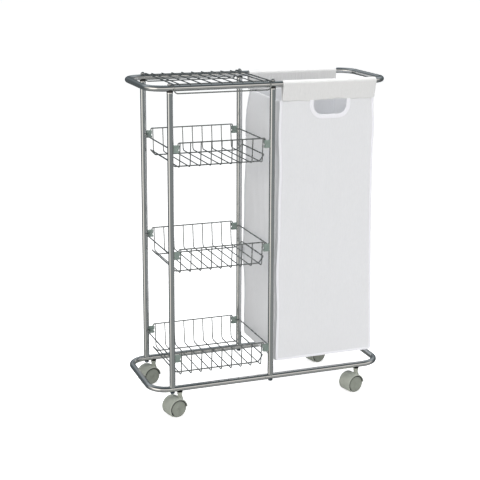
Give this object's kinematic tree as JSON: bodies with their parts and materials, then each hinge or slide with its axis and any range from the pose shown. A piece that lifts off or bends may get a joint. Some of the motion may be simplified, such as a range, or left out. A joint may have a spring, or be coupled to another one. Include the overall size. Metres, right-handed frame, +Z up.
{
  "type": "laundry sorter on wheels",
  "caption": "Wheeled laundry sorter: a chromed tube frame with a wire shelf and wire baskets beside a tall hanging fabric bag.",
  "frame": {"origin": "on the floor under the centre of the two tube rings", "axes": "+Z up, +X along the length towards the bag, +Y to the back"},
  "size_m": [0.6664, 0.3015, 0.8721],
  "materials": {
    "chrome_tube": "bright chrome plating on steel tube",
    "chromed_wire": "chrome plating on drawn wire",
    "clip_plastic": "moulded, satin",
    "black_plastic": "moulded, satin",
    "castor_plastic": "moulded, satin",
    "wheel_plastic": "moulded, satin",
    "bag_fabric": "white plain-woven synthetic, slightly translucent",
    "base_board": "covered stiff board"
  },
  "bodies": {
    "frame": {"top_ring_left": "chrome_tube", "top_ring_right": "chrome_tube", "bottom_ring_left": "chrome_tube", "bottom_ring_right": "chrome_tube", "post_left_front": "chrome_tube", "saddle_left_front": "black_plastic", "domed_bolt_left_front": "chrome_tube", "foot_bolt_left_front": "black_plastic", "post_left_back": "chrome_tube", "saddle_left_back": "black_plastic", "domed_bolt_left_back": "chrome_tube", "foot_bolt_left_back": "black_plastic", "post_middle_front": "chrome_tube", "saddle_middle_front": "black_plastic", "domed_bolt_middle_front": "chrome_tube", "foot_bolt_middle_front": "black_plastic", "post_middle_back": "chrome_tube", "saddle_middle_back": "black_plastic", "domed_bolt_middle_back": "chrome_tube", "foot_bolt_middle_back": "black_plastic", "top_shelf": "chromed_wire", "basket_top": "chromed_wire", "clip_top_left_front": "clip_plastic", "clip_top_left_back": "clip_plastic", "clip_top_middle_front": "clip_plastic", "clip_top_middle_back": "clip_plastic", "basket_middle": "chromed_wire", "clip_middle_left_front": "clip_plastic", "clip_middle_left_back": "clip_plastic", "clip_middle_middle_front": "clip_plastic", "clip_middle_middle_back": "clip_plastic", "basket_bottom": "chromed_wire", "clip_bottom_left_front": "clip_plastic", "clip_bottom_left_back": "clip_plastic", "clip_bottom_middle_front": "clip_plastic", "clip_bottom_middle_back": "clip_plastic", "laundry_bag": "bag_fabric", "bag_base_board": "base_board", "castor_front_left_stem": "black_plastic", "castor_back_left_stem": "black_plastic", "castor_front_right_stem": "black_plastic", "castor_back_right_stem": "black_plastic"},
    "castor_front_left": {"castor_front_left_housing": "castor_plastic", "castor_front_left_axle": "chrome_tube"},
    "castor_front_left_wheel_1": {"castor_front_left_wheel_1": "wheel_plastic"},
    "castor_front_left_wheel_2": {"castor_front_left_wheel_2": "wheel_plastic"},
    "castor_back_left": {"castor_back_left_housing": "castor_plastic", "castor_back_left_axle": "chrome_tube"},
    "castor_back_left_wheel_1": {"castor_back_left_wheel_1": "wheel_plastic"},
    "castor_back_left_wheel_2": {"castor_back_left_wheel_2": "wheel_plastic"},
    "castor_front_right": {"castor_front_right_housing": "castor_plastic", "castor_front_right_axle": "chrome_tube"},
    "castor_front_right_wheel_1": {"castor_front_right_wheel_1": "wheel_plastic"},
    "castor_front_right_wheel_2": {"castor_front_right_wheel_2": "wheel_plastic"},
    "castor_back_right": {"castor_back_right_housing": "castor_plastic", "castor_back_right_axle": "chrome_tube"},
    "castor_back_right_wheel_1": {"castor_back_right_wheel_1": "wheel_plastic"},
    "castor_back_right_wheel_2": {"castor_back_right_wheel_2": "wheel_plastic"}
  },
  "joints": [
    {"name": "castor_front_left_swivel", "type": "hinge", "parent": "frame", "child": "castor_front_left", "pos_m": [-0.254, -0.124, 0.05], "axis": [0, 0, 1], "continuous": true},
    {"name": "castor_front_left_wheel_1_spin", "type": "hinge", "parent": "castor_front_left", "child": "castor_front_left_wheel_1", "pos_m": [-0.2686, -0.12745, 0.024], "axis": [-0.23, 0.9732, 0], "continuous": true},
    {"name": "castor_front_left_wheel_2_spin", "type": "hinge", "parent": "castor_front_left", "child": "castor_front_left_wheel_2", "pos_m": [-0.2686, -0.12745, 0.024], "axis": [-0.23, 0.9732, 0], "continuous": true},
    {"name": "castor_back_left_swivel", "type": "hinge", "parent": "frame", "child": "castor_back_left", "pos_m": [-0.254, 0.124, 0.05], "axis": [0, 0, 1], "continuous": true},
    {"name": "castor_back_left_wheel_1_spin", "type": "hinge", "parent": "castor_back_left", "child": "castor_back_left_wheel_1", "pos_m": [-0.2686, 0.12055, 0.024], "axis": [-0.23, 0.9732, 0], "continuous": true},
    {"name": "castor_back_left_wheel_2_spin", "type": "hinge", "parent": "castor_back_left", "child": "castor_back_left_wheel_2", "pos_m": [-0.2686, 0.12055, 0.024], "axis": [-0.23, 0.9732, 0], "continuous": true},
    {"name": "castor_front_right_swivel", "type": "hinge", "parent": "frame", "child": "castor_front_right", "pos_m": [0.254, -0.124, 0.05], "axis": [0, 0, 1], "continuous": true},
    {"name": "castor_front_right_wheel_1_spin", "type": "hinge", "parent": "castor_front_right", "child": "castor_front_right_wheel_1", "pos_m": [0.2394, -0.12745, 0.024], "axis": [-0.23, 0.9732, 0], "continuous": true},
    {"name": "castor_front_right_wheel_2_spin", "type": "hinge", "parent": "castor_front_right", "child": "castor_front_right_wheel_2", "pos_m": [0.2394, -0.12745, 0.024], "axis": [-0.23, 0.9732, 0], "continuous": true},
    {"name": "castor_back_right_swivel", "type": "hinge", "parent": "frame", "child": "castor_back_right", "pos_m": [0.254, 0.124, 0.05], "axis": [0, 0, 1], "continuous": true},
    {"name": "castor_back_right_wheel_1_spin", "type": "hinge", "parent": "castor_back_right", "child": "castor_back_right_wheel_1", "pos_m": [0.2394, 0.12055, 0.024], "axis": [-0.23, 0.9732, 0], "continuous": true},
    {"name": "castor_back_right_wheel_2_spin", "type": "hinge", "parent": "castor_back_right", "child": "castor_back_right_wheel_2", "pos_m": [0.2394, 0.12055, 0.024], "axis": [-0.23, 0.9732, 0], "continuous": true}
  ]
}
